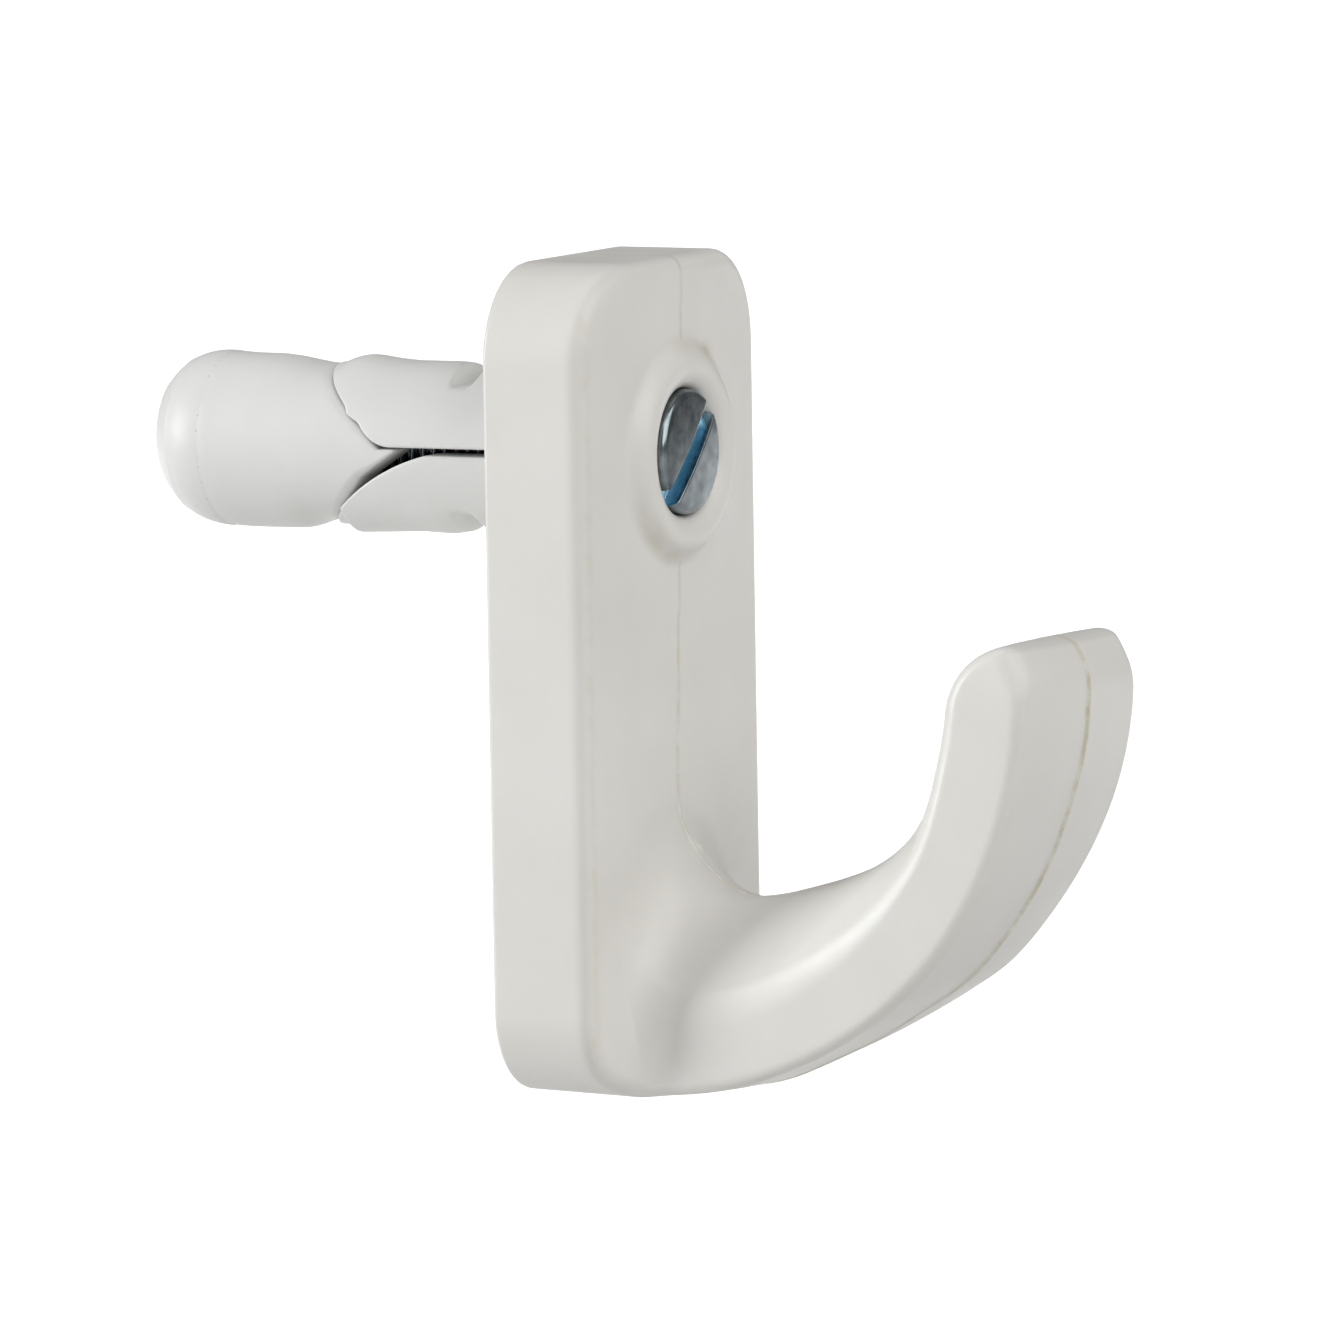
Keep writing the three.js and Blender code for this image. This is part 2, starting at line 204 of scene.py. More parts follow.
LOWER_WEDGE_BEND_START = 11.3
LOWER_WEDGE_STEEPNESS = 1.25
EXPANDER_EDGE_ROUND = 0.55
EXPANDER_TIP_ROUND = 0.15  # its edges are sharper at the tip of the wedge
EXPANDER_EDGE_START = 9.5
EXPANDER_EDGE_FADE = 3
MOULD_RINGS = (24.5, 23.5)  # faint rings round the dome
MOULD_RING_HEIGHT = 0.025
MOULD_RING_WIDTH = 0.12

HEAD_RADIUS = 3.5
HEAD_FACE = SCREW_LOW[1] - 0.33
HEAD_UNDERSIDE = HEAD_FACE + 2.6
HEAD_ROUND = 0.45
HEAD_UNDERSIDE_ROUND = 0.1
HEAD_DOME = 0.16
SLOT_WIDTH = 1.2
SLOT_DEPTH = 1.1
SLOT_ROUND = 0.08
SLOT_DIRECTION = (-np.sqrt(0.5), np.sqrt(0.5))  # x and z of the slot's width
THREAD_RADIUS = 2.0
THREAD_DEPTH = 0.42
THREAD_PITCH = 0.7
THREAD_FADE = 1.5  # the thread runs out towards the head
SHANK_IN_HEAD = 0.2

# ------------------------------------------------------------------ fields


def round_max(a, b, r):
    """Both fields at once, with their common edge rounded to radius r."""
    return np.minimum(np.maximum(a, b), -r) + np.hypot(np.maximum(a + r, 0), np.maximum(b + r, 0))


def round_min(a, b, r):
    """Either field, with a fillet of radius r between them."""
    return -round_max(-a, -b, r)


def ease(t):
    """A smooth step from 0 to 1 as t goes from 0 to 1."""
    t = np.clip(t, 0, 1)
    return t * t * (3 - 2 * t)


def between(value, start, end):
    """A smooth step from 0 to 1 as value goes from start to end."""
    return ease((value - start) / (end - start))


def bell(distance, width):
    """1 at distance 0, falling off smoothly to either side."""
    return np.exp(-((distance / width) ** 2))


def plate_depth(x, z):
    """How far the plate's crowned front stands out from the wall."""
    crown = np.clip(PLATE_CROWN + PLATE_CROWN_SLOPE * z, *PLATE_CROWN_LIMITS)
    return PLATE_EDGE_DEPTH + crown * (1 - (x / PLATE_HALF_WIDTH) ** 2)


def plate_outline(x, z, bottom):
    """The plate's outline seen from the front, a rectangle with round corners."""
    middle, half = (PLATE_TOP + bottom) / 2, (PLATE_TOP - bottom) / 2
    corner = np.where(z > middle, PLATE_TOP_CORNER, PLATE_BOTTOM_CORNER)
    across = np.abs(x) - (PLATE_HALF_WIDTH - corner)
    along = np.abs(z - middle) - (half - corner)
    outside = np.hypot(np.maximum(across, 0), np.maximum(along, 0))
    return outside + np.minimum(np.maximum(across, along), 0) - corner


def parting_offset(y, z):
    """The moulding's parting line wanders a little to either side of the middle."""
    long_wave = PARTING_LONG_WAVE * np.sin(1.1 * z + 0.4 * y)
    return long_wave + PARTING_SHORT_WAVE * np.sin(2.9 * z + 1.0)


def arm_radius(y, z):
    """Distance from the centre of the arm's sweep, which runs straight on at both ends."""
    out, down = np.maximum(ARM_Y - y, 0), np.maximum(ARM_Z - z, 0)
    return np.where((y < ARM_Y) | (z < ARM_Z), np.hypot(out, down), -np.hypot(y - ARM_Y, z - ARM_Z))


def arm_inner(x, radius, turn):
    """The arm's inner face, which is an arch between its side faces, and the arch's rise."""
    side = ARM_SIDE_RADIUS - ARM_SIDE_DROP * between(turn, *ARM_SIDE_DROP_TURNS)
    crest = CREST_RADIUS + CREST_SLOPE * np.minimum(turn, CREST_SLOPE_END)
    crest = crest + CREST_RISE * between(turn, *CREST_RISE_TURNS)
    across = np.minimum(np.abs(x) / ARM_HALF_WIDTH, ARCH_REACH)
    slope = ARCH_POWER * (side - crest) / ARM_HALF_WIDTH * across ** (ARCH_POWER - 1)
    rise = (side - crest) * (1 - across**ARCH_POWER)
    return (side - rise - radius) / np.hypot(1, slope), rise


def arm_outer(x, radius, turn):
    """The arm's outer face along its middle, and its crown, which differs in the two halves of
    the mould."""
    middle = ARM_OUTER_RADIUS + ARM_TIP_SWELL * between(turn, *ARM_TIP_SWELL_TURNS)
    middle = middle - ARM_FLAT * np.exp(-(((turn - ARM_FLAT_TURN) / ARM_FLAT_SPREAD) ** 4))
    near = middle - ARM_NEAR_EDGE + ARM_NEAR_EDGE_DROP * between(turn, *ARM_NEAR_EDGE_TURNS)
    far = FAR_CROWN - FAR_CROWN_LOSS * between(turn, *FAR_CROWN_LOSS_TURNS)
    far = far + FAR_CROWN_AT_ROOT * between(turn, *FAR_CROWN_ROOT_TURNS)
    far = far + FAR_CROWN_BULGE * bell(turn - FAR_CROWN_BULGE_TURN, FAR_CROWN_BULGE_SPREAD)
    return radius - middle, np.where(x < 0, near, far) * (x / ARM_HALF_WIDTH) ** 2


def flash_height(x, y, z):
    """The thin ridge along the parting line, with one torn ledge in it."""
    height = FLASH_HEIGHT * bell(x - parting_offset(y, z), FLASH_WIDTH)
    ledge = bell(x - LEDGE_X, LEDGE_WIDTH) * bell(z - LEDGE_Z, LEDGE_DROP)
    return height + LEDGE_HEIGHT * ledge * ease(y - LEDGE_FRONT)


def hook_field(x, y, z):
    """The moulding without its legs: plate, arm, screw ring and collar."""
    front = -y - plate_depth(x, z)
    radius = arm_radius(y, z)
    turn = np.degrees(np.arctan2(np.maximum(ARM_Y - y, 0), np.maximum(ARM_Z - z, 1e-6)))
    near_tip = ease((z - TIP_TOP) / TIP_FADE + 1)
    inner, rise = arm_inner(x, radius, turn)
    arm = round_max(inner, z - TIP_TOP, TIP_INNER_ROUND + rise)
    lean = TIP_SIDE_LEAN * (z - TIP_TOP - TIP_SIDE_ABOVE)
    flanks = round_max(np.abs(x) - ARM_HALF_WIDTH, lean, TIP_SIDE_ROUND)
    arm = round_max(arm, flanks, ARM_INNER_ROUND)
    crest = ease(1 - np.abs(x) / ARM_HALF_WIDTH)
    fillet = ROOT_FILLET_SIDE + (ROOT_FILLET_CREST - ROOT_FILLET_SIDE) * crest
    solid = round_min(arm, front, fillet)

    around = np.hypot(x, z)
    ring = round_max(around - RING_OUTER, -y - RING_CREST, RING_ROUND)
    solid = round_min(solid, ring, RING_BLEND)

    bottom = PLATE_BOTTOM + PLATE_BACK_LIFT * np.clip(1 - y / ARM_Y, 0, 1)
    step = MOULD_MISMATCH * ease((x - parting_offset(y, z)) / MISMATCH_WIDTH + 0.5)
    step = step * between(turn, *MISMATCH_TURNS)
    middle, crown = arm_outer(x, radius, turn)
    outer = middle + crown * ease(front / ARM_CROWN_FADE) - step + bottom - PLATE_BOTTOM
    outline = np.maximum(plate_outline(x, z, bottom), outer)
    on_arm = ease(front / ARM_EDGE_FADE)
    edge = np.where(x < 0, ARM_NEAR_ROUND, ARM_FAR_ROUND)
    edge = edge + (TIP_OUTER_ROUND - edge) * near_tip
    edge = PLATE_FRONT_ROUND + (edge - PLATE_FRONT_ROUND) * on_arm
    flash = flash_height(x, y, z) * ease((around - RING_OUTER - FLASH_RING_GAP) / FLASH_RING_FADE)
    flash = flash * ease(FLASH_BEHIND_FRONT + front) * (1 - FLASH_TIP_LOSS * near_tip)
    solid = round_max(solid, outline, edge) - flash
    solid = round_max(solid, y, PLATE_BACK_ROUND)

    collar = round_max(around - COLLAR, y - COLLAR_END, COLLAR_ROUND)
    collar = np.maximum(collar, COLLAR_START - y)
    solid = round_min(solid, collar, COLLAR_BLEND)
    recess = np.maximum(around - RING_INNER, y - RECESS_FLOOR)
    solid = round_max(solid, -recess, RECESS_EDGE_ROUND)
    return round_max(solid, BORE - around, BORE_ROUND)


# The plug's profiles: stations along it, each with the radius there.
UPPER_RIDGE = (
    (0.0, 4.62), (6.2, 4.66), (6.8, 4.74), (9.7, 4.74), (11.0, 4.85), (12.0, 5.0), (12.6, 5.03),
    (13.2, 4.92), (13.7, 4.74), (13.95, 4.6), (16.0, 4.5),
)
LOWER_RIDGE = (
    (0.0, 4.7), (5.5, 4.7), (6.45, 4.78), (7.3, 4.93), (9.15, 4.84), (12.0, 4.94), (13.1, 4.98),
    (16.0, 5.0),
)
EXPANDER_TOP = (
    (12.0, 4.4), (14.5, 4.4), (15.4, 4.44), (16.3, 4.6), (17.2, 4.76), (18.2, 4.87), (20.9, 4.9),
    (22.0, 4.82),
)
EXPANDER_BOTTOM = (
    (12.0, 4.36), (14.6, 4.36), (15.2, 4.46), (15.8, 4.7), (16.4, 4.86), (17.1, 4.9), (20.9, 4.9),
    (22.0, 4.82),
)
EXPANDER_SIDE = ((9.0, 4.5), (12.0, 4.6), (15.0, 4.75), (18.2, 4.88), (20.9, 4.9), (22.0, 4.82))


def profile(y, points):
    """Radius along the plug, with the corners between the given stations smoothed."""
    stations, radii = zip(*points)
    total = sum(np.interp(y + shift, stations, radii) for shift in PROFILE_SHIFTS)
    return total / len(PROFILE_SHIFTS)


def degrees_from_ridge(x, z):
    return np.degrees(np.arctan2(np.abs(x), np.abs(z)))


def from_ridge(x, z):
    """0 along the plug's top and bottom, 1 on its sides."""
    return ease(degrees_from_ridge(x, z) / RIDGE_WIDTH)


def notch(x, y, z):
    """The depth of a short groove across the ridge near the wall plate."""
    along = np.clip(1 - np.abs(y - NOTCH_Y) / NOTCH_HALF_LENGTH, 0, 1)
    depth = NOTCH_DEPTH * ease(along * NOTCH_STEEPNESS)
    return depth * ease((NOTCH_END - degrees_from_ridge(x, z)) / NOTCH_FADE)


def leg_blank(x, y, z, ridge):
    """Both legs' outer surface before they are cut apart, and the distance from the plug's axis."""
    around = np.hypot(x, z)
    radius = profile(y, ridge)
    radius = radius + (LEG_SIDE - radius) * from_ridge(x, z) - notch(x, y, z)
    return round_max(around - radius, LEG_START - y, LEG_START_ROUND), around


def upper_leg_field(x, y, z):
    """The upper leg, which ends in a slant with a burr on it."""
    leg, around = leg_blank(x, y, z, UPPER_RIDGE)
    burr = sum(height * bell(z - place, width) for height, place, width in BURRS)
    end = (UPPER_LEG_SLOPE * (y - UPPER_LEG_CORNER - burr) - z) / np.hypot(1, UPPER_LEG_SLOPE)
    inside = round_max(UPPER_LEG_GAP - z, end, UPPER_LEG_CORNER_ROUND)
    leg = round_max(leg, inside, UPPER_LEG_EDGE_ROUND)
    return round_max(leg, BORE - around, LEG_BORE_ROUND)


def lower_leg_field(x, y, z):
    """The lower leg, whose inner face bends down into its end, with a step in its ridge."""
    leg, around = leg_blank(x, y, z, LOWER_RIDGE)
    past_step = np.minimum(around - LEG_SIDE + RIDGE_STEP_DEPTH, y - RIDGE_STEP)
    leg = np.where(y > RIDGE_STEP, np.maximum(leg, past_step), leg)
    past = np.maximum(y - LOWER_LEG_BEND_START, 0)
    inner_face = LOWER_LEG_GAP + LOWER_LEG_SLOPE * past + LOWER_LEG_BEND * past**2
    slope = LOWER_LEG_SLOPE + 2 * LOWER_LEG_BEND * past
    leg = round_max(leg, (inner_face + z) / np.hypot(1, slope), LOWER_LEG_EDGE_ROUND)
    return round_max(leg, BORE - around, LEG_BORE_ROUND)


def wedge_field(y, z):
    """The space between the legs that the expander's front fills."""
    upper = z - UPPER_LEG_SLOPE * (y - UPPER_LEG_CORNER) + WEDGE_GAP
    upper = upper / np.hypot(1, UPPER_LEG_SLOPE)
    tip_end = EXPANDER_LOW[1] + WEDGE_TIP_INSET - y
    upper = np.maximum(np.minimum(upper, z - WEDGE_TIP_TOP), tip_end)
    bend = LOWER_WEDGE_BEND * np.maximum(y - LOWER_WEDGE_BEND_START, 0)
    lower = (-z - LOWER_WEDGE_SLOPE * (y - EXPANDER_LOW[1]) - bend) / LOWER_WEDGE_STEEPNESS
    return round_max(upper, lower, WEDGE_ROUND)


def expander_field(x, y, z):
    """The expander: a domed cylinder, waisted where the legs end, with a wedge at the front."""
    z0 = z - EXPANDER_RAISE - EXPANDER_TILT * np.maximum(y - EXPANDER_TILT_START, 0)
    around = np.hypot(x, z0)
    past = np.clip((y - DOME_START) / (EXPANDER_HIGH[1] - DOME_START), 0, None)
    dome = (past**DOME_POWER + (around / DOME_RADIUS) ** DOME_POWER) ** (1 / DOME_POWER)
    up = 0.5 + 0.5 * np.clip(z0 / EXPANDER_TURNOVER, -1, 1)
    radius = up * profile(y, EXPANDER_TOP) + (1 - up) * profile(y, EXPANDER_BOTTOM)
    shell = around - radius - (profile(y, EXPANDER_SIDE) - radius) * from_ridge(x, z0)
    solid = np.where(y > DOME_START, (dome - 1) * DOME_SCALE, shell)
    for ring in MOULD_RINGS:
        solid = solid - MOULD_RING_HEIGHT * bell(y - ring, MOULD_RING_WIDTH)
    edge = ease((y - EXPANDER_EDGE_START) / EXPANDER_EDGE_FADE)
    edge = EXPANDER_TIP_ROUND + (EXPANDER_EDGE_ROUND - EXPANDER_TIP_ROUND) * edge
    solid = round_max(solid, wedge_field(y, z), edge)
    bore = np.maximum(np.hypot(x, z) - BORE, y - EXPANDER_BORE_END)
    return round_max(solid, -bore, EXPANDER_BORE_ROUND)


def head_field(x, y, z):
    """The screw's slightly domed head, with its slot."""
    around = np.hypot(x, z)
    top = HEAD_FACE + HEAD_DOME * (around / HEAD_RADIUS) ** 2
    solid = round_max(around - HEAD_RADIUS, top - y, HEAD_ROUND)
    solid = round_max(solid, y - HEAD_UNDERSIDE, HEAD_UNDERSIDE_ROUND)
    across = x * SLOT_DIRECTION[0] + z * SLOT_DIRECTION[1]
    slot = np.maximum(np.abs(across) - SLOT_WIDTH / 2, y - (HEAD_FACE + SLOT_DEPTH))
    return round_max(solid, -slot, SLOT_ROUND)


# ------------------------------------------------------------------ meshes


def even(low, high, step):
    return np.linspace(low, high, int(np.ceil((high - low) / step)) + 1)


def graded(limit, step, finest, growth=1.35):
    """Grid stations from -limit to limit that close up towards 0."""
    stations, width = [0.0], finest
    while stations[-1] < limit:
        stations.append(stations[-1] + width)
        width = min(width * (growth if stations[-1] > 3 * finest else 1), step)
    stations = np.array(stations)
    return np.concatenate([-stations[:0:-1], stations])


def gradient(field, p, reach=0.01):
    slopes = []
    for axis in range(3):
        shift = np.zeros(3)
        shift[axis] = reach
        slopes.append((field(*(p + shift).T) - field(*(p - shift).T)) / (2 * reach))
    return np.stack(slopes, axis=1)


def skin(field, axes):
    """Points, quads and normals of the surface where field is zero: one point per grid cell that
    it crosses, moved onto it by Newton's method."""
    values = field(*np.meshgrid(*axes, indexing="ij"))
    cells = np.array(values.shape) - 1
    count = np.zeros(cells.prod())
    total = np.zeros((3, cells.prod()))
    quads = []
    for axis in range(3):
        lower = np.delete(values, -1, axis)
        upper = np.delete(values, 0, axis)
        index = np.argwhere((lower < 0) != (upper < 0))
        at = tuple(index.T)
        share = lower[at] / (lower[at] - upper[at])
        p = [axes[d][index[:, d]] for d in range(3)]
        p[axis] = p[axis] + share * (axes[axis][index[:, axis] + 1] - p[axis])
        around = []
        for u, v in ((-1, -1), (0, -1), (0, 0), (-1, 0)):
            cell = index.copy()
            cell[:, (axis + 1) % 3] += u
            cell[:, (axis + 2) % 3] += v
            cell = np.ravel_multi_index(tuple(cell.T), tuple(cells))
            count += np.bincount(cell, minlength=len(count))
            for d in range(3):
                total[d] += np.bincount(cell, weights=p[d], minlength=len(count))
            around.append(cell)
        around = np.stack(around, axis=1)
        around[lower[at] > 0] = around[lower[at] > 0, ::-1]
        quads.append(around)
    used = np.flatnonzero(count)
    number = np.zeros(len(count), int)
    number[used] = np.arange(len(used))
    points = (total[:, used] / count[used]).T
    for _ in range(4):
        slope = gradient(field, points)
        step = field(*points.T) / np.maximum((slope**2).sum(1), 1e-3)
        points = points - np.clip(step, -0.1, 0.1)[:, None] * slope
    normals = gradient(field, points)
    normals /= np.maximum(np.linalg.norm(normals, axis=1), 1e-9)[:, None]
    return points, number[np.concatenate(quads)], normals


def add_mesh(name, points, faces, normals=None):
    mesh = bpy.data.meshes.new(name)
    mesh.from_pydata((points * MM).tolist(), [], faces)
    mesh.polygons.foreach_set("use_smooth", np.ones(len(mesh.polygons), bool))
    mesh.update()
    if normals is not None:
        mesh.normals_split_custom_set_from_vertices(normals.tolist())
    piece = bpy.data.objects.new(name, mesh)
    bpy.context.scene.collection.objects.link(piece)
    return piece


def moulded(name, field, axes):
    points, faces, normals = skin(field, axes)
    return add_mesh(name, points, faces.tolist(), normals)


def threaded_shank():
    """A helical thread from under the head to a chamfered end, as one closed lofted mesh."""
    around, rows_a_turn = 36, 8
    start, end = HEAD_UNDERSIDE - SHANK_IN_HEAD, SCREW_HIGH[1]
    stations = np.arange(start, end + 1e-6, THREAD_PITCH / rows_a_turn)
    angle = np.linspace(0, 2 * np.pi, around, endpoint=False)
    y, a = np.meshgrid(stations, angle, indexing="ij")
    phase = (y / THREAD_PITCH - a / (2 * np.pi)) % 1.0
    height = np.clip(1.25 - 2.5 * np.abs(phase - 0.5), 0, 1)  # flat crests and roots
    cut = THREAD_DEPTH * (1 - height) * ease((y - HEAD_UNDERSIDE) / THREAD_FADE - 0.2)
    r = THREAD_RADIUS - cut
    r = np.minimum(r, THREAD_RADIUS - THREAD_DEPTH + np.maximum(end - y, 0))
    points = np.stack([r * np.cos(a), y, r * np.sin(a)], axis=2).reshape(-1, 3)
    ends = np.array([[0, stations[0], 0], [0, stations[-1], 0]])
    points = np.concatenate([points, ends])
    rows, low_end, high_end = len(stations), len(points) - 2, len(points) - 1
    i, j = np.meshgrid(np.arange(rows - 1), np.arange(around), indexing="ij")
    k = (j + 1) % around
    row, next_row = i * around, (i + 1) * around
    faces = np.stack([row + j, next_row + j, next_row + k, row + k], 2).reshape(-1, 4).tolist()
    last = (rows - 1) * around
    for m in range(around):
        n = (m + 1) % around
        faces.append([m, n, low_end])
        faces.append([last + n, last + m, high_end])
    return add_mesh("screw_shank", points, faces)


# ------------------------------------------------------------------ materials


class Shader:
    """A node material under construction."""

    def __init__(self, name):
        self.material = bpy.data.materials.new(name)
        self.material.use_nodes = True
        self.tree = self.material.node_tree
        self.principled = self.tree.nodes["Principled BSDF"]
        self.place = self.node("ShaderNodeTexCoord").outputs["Object"]

    def node(self, kind, **settings):
        made = self.tree.nodes.new(kind)
        for key, value in settings.items():
            setattr(made, key, value)
        return made

    def link(self, output, socket):
        self.tree.links.new(output, socket)

    def noise(self, scale, detail=3, roughness=0.5):
        made = self.node("ShaderNodeTexNoise")
        self.link(self.place, made.inputs["Vector"])
        made.inputs["Scale"].default_value = scale
        made.inputs["Detail"].default_value = detail
        made.inputs["Roughness"].default_value = roughness
        return made.outputs["Fac"]

    def spread(self, value, low, high, to_low=0.0, to_high=1.0):
        made = self.node("ShaderNodeMapRange")
        self.link(value, made.inputs["Value"])
        made.inputs["From Min"].default_value = low
        made.inputs["From Max"].default_value = high
        made.inputs["To Min"].default_value = to_low
        made.inputs["To Max"].default_value = to_high
        return made.outputs["Result"]

    def times(self, a, b):
        made = self.node("ShaderNodeMath", operation="MULTIPLY")
        for socket, value in zip(made.inputs, (a, b)):
            if isinstance(value, (int, float)):
                socket.default_value = value
            else:
                self.link(value, socket)
        return made.outputs[0]

    def blend(self, share, a, b):
        made = self.node("ShaderNodeMix", data_type="RGBA")
        self.link(share, made.inputs["Factor"])
        for socket, value in ((made.inputs[6], a), (made.inputs[7], b)):
            if isinstance(value, tuple):
                socket.default_value = (*value, 1)
            else:
                self.link(value, socket)
        return made.outputs[2]

    def bump(self, height, distance, strength=1.0, under=None):
        made = self.node("ShaderNodeBump")
        made.inputs["Strength"].default_value = strength
        made.inputs["Distance"].default_value = distance
        self.link(height, made.inputs["Height"])
        if under is not None:
            self.link(under, made.inputs["Normal"])
        return made.outputs["Normal"]

    def attribute(self, name):
        return self.node("ShaderNodeAttribute", attribute_name=name).outputs["Fac"]


def plastic(name, pale, shade, soiled_and_shaded, roughness):
    """Moulded nylon: faint clouds of colour, fine grain, slow waves in the surface, and soil and
    painted shade.
    """
    s = Shader(name)
    cloudy = s.spread(s.noise(130, 4), 0.35, 0.65)
    colour = s.blend(cloudy, pale, shade)
    patchy = s.spread(s.noise(900, 5, 0.6), 0.3, 0.62)
    # Stains and painted shade, both carried by the point attribute.
    colour = s.blend(s.times(s.attribute("soil_and_shade"), patchy), colour, soiled_and_shaded)
    s.link(colour, s.principled.inputs["Base Color"])
    uneven = s.spread(s.noise(420, 4), 0.3, 0.7, roughness - 0.04, roughness + 0.06)
    s.link(uneven, s.principled.inputs["Roughness"])
    waves = s.bump(s.noise(260, 2), 0.00012, 0.35)
    grain = s.bump(s.noise(5200, 2), 0.00001, 0.5, waves)
    s.link(grain, s.principled.inputs["Normal"])
    s.principled.inputs["IOR"].default_value = 1.5
    s.principled.inputs["Subsurface Weight"].default_value = 0.12
    s.principled.inputs["Subsurface Radius"].default_value = (1.0, 0.9, 0.8)
    s.principled.inputs["Subsurface Scale"].default_value = 0.0008
    return s.material


def metal(name, pale, shade, tint, roughness, scratch_scale):
    """Plated steel: mottled, finely scratched, and tinted where the soil_and_shade attribute says.
    """
    s = Shader(name)
    tone = s.spread(s.noise(900, 4), 0.3, 0.7)
    colour = s.blend(tone, pale, shade)
    s.link(s.blend(s.attribute("soil_and_shade"), colour, tint), s.principled.inputs["Base Color"])
    uneven = s.spread(s.noise(scratch_scale, 5), 0.3, 0.7, roughness - 0.05, roughness + 0.08)
    s.link(uneven, s.principled.inputs["Roughness"])
    s.link(s.bump(s.noise(scratch_scale, 3), 0.000008, 0.5), s.principled.inputs["Normal"])
    s.principled.inputs["Metallic"].default_value = 1.0
    return s.material


MOULDING = plastic(
    "moulding",
    pale=(0.77, 0.762, 0.73),
    shade=(0.745, 0.733, 0.70),
    # This stain colour also paints the shade along the plate's and arm's near edges and round the
    # ring's foot.
    soiled_and_shaded=(0.52, 0.48, 0.33),
    roughness=0.36,
)
PLUG_PLASTIC = plastic(
    "plug_plastic",
    pale=(0.775, 0.78, 0.765),
    shade=(0.75, 0.755, 0.74),
    soiled_and_shaded=(0.5, 0.48, 0.42),
    roughness=0.42,
)
ZINC = metal(
    "zinc_steel",
    pale=(0.30, 0.335, 0.345),
    shade=(0.14, 0.165, 0.18),
    tint=(0.42, 0.66, 0.80),
    roughness=0.18,
    scratch_scale=2600,
)
NUT_STEEL = metal(
    "nut_steel",
    pale=(0.60, 0.60, 0.58),
    shade=(0.48, 0.48, 0.46),
    tint=(0.4, 0.36, 0.3),
    roughness=0.3,
    scratch_scale=2000,
)

# ------------------------------------------------------------------ pieces


def finish_piece(piece, material, node):
    piece.data.materials.append(material)
    if node:
        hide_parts(node)


def set_soil_and_shade(piece, amount):
    """How much of the stain, painted shade or tint colour each point takes, from 0 to 1, as a
    function of its place in millimetres.
    """
    co = np.zeros(len(piece.data.vertices) * 3, np.float32)
    piece.data.vertices.foreach_get("co", co)
    x, y, z = co.reshape(-1, 3).T.astype(float) / MM
    soil_and_shade = piece.data.attributes.new("soil_and_shade", "FLOAT", "POINT")
    soil_and_shade.data.foreach_set("value", np.clip(amount(x, y, z), 0, 1).astype(np.float32))


def hook_soil_and_shade(x, y, z):
    """Stains along the parting line and round the screw ring (partly painted shade at the ring's
    foot), and painted shade along the plate's and arm's near edges.
    """
    around = np.hypot(x, z)
    on_ring = y < -5
    off_ring = ease((around - RING_OUTER) / 0.6)
    line = bell(x - parting_offset(y, z), 0.17) * (y < -1) * off_ring
    line = line * (0.6 + 0.4 * ease((-y - 24) / 6))
    # Round the ring's foot, at its upper right and lower left: partly a brown stain, partly painted
    # shade on the ring's outer slope.
    upper_right = ease((z - 3.5) / 2.2) * ease((x + 2) / 2)
    lower_left = ease((-z - 1.5) / 2.5) * ease(0.6 - x / 4)
    ring = bell(around - RING_OUTER - 0.15, 0.4) * on_ring * (upper_right + lower_left)
    spot = bell(x - 3.2, 0.6) * bell(z - 5.5, 0.45) * on_ring
    # Painted shade: a darker yellowish line down the plate's front-left edge and along the arm's
    # near outer edge.
    edge = bell(x + 10.05, 0.32) * (y < -5.6)
    arm_edge_shade = bell(x + 6.35, 0.35) * (arm_radius(y, z) > 23) * (y < -14)
    # line and spot are stains, ring is partly painted shade, edge and the arm's edge line are
    # painted shade.
    return 0.85 * line + 0.26 * ring + 0.6 * spot + 0.2 * edge + 0.1 * arm_edge_shade


def clean(x, y, z):
    return 0 * x


def slot_tint(x, y, z):
    """The slot keeps the blue of its zinc finish, which is worn off the head's face."""
    return 0.9 * ease((y - HEAD_FACE - 0.25) / 0.2) * (np.hypot(x, z) < HEAD_RADIUS - 0.1)


hook = moulded(
    "hook_skin",
    hook_field,
    (
        graded(PLATE_HALF_WIDTH + 0.5, 0.24, 0.035),
        even(HOOK_LOW[1] - 0.5, COLLAR_END + 0.4, 0.24),
        even(PLATE_BOTTOM - 0.5, PLATE_TOP + 0.5, 0.24),
    ),
)
set_soil_and_shade(hook, hook_soil_and_shade)
finish_piece(hook, MOULDING, "hook_body")
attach(hook, "hook")

plug_width = even(-5.3, 5.3, 0.11)

for name, body, field, low, high in (
    ("upper_leg_skin", "upper_leg", upper_leg_field, -0.2, 5.3),
    ("lower_leg_skin", "lower_leg", lower_leg_field, -5.3, 0.1),
):
    axes = (plug_width, even(LEG_START - 0.3, 15.6, 0.1), even(low, high, 0.11))
    leg = moulded(name, field, axes)
    set_soil_and_shade(leg, clean)
    finish_piece(leg, PLUG_PLASTIC, body.replace("leg", "expansion_leg"))
    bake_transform(leg)

expander = moulded(
    "expander_skin",
    expander_field,
    (plug_width, even(EXPANDER_LOW[1] - 0.3, EXPANDER_HIGH[1] + 0.3, 0.11), even(-5.3, 5.4, 0.11)),
)
set_soil_and_shade(expander, clean)
finish_piece(expander, PLUG_PLASTIC, "expander_plug")
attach(expander, "expander")

head_width = even(-3.7, 3.7, 0.06)
head = moulded(
    "screw_head",
    head_field,
    (head_width, even(HEAD_FACE - 0.2, HEAD_UNDERSIDE + 0.2, 0.06), head_width),
)
set_soil_and_shade(head, slot_tint)
finish_piece(head, ZINC, "clamp_screw")
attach(head, "screw")

shank = threaded_shank()
finish_piece(shank, ZINC, None)
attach(shank, "screw")

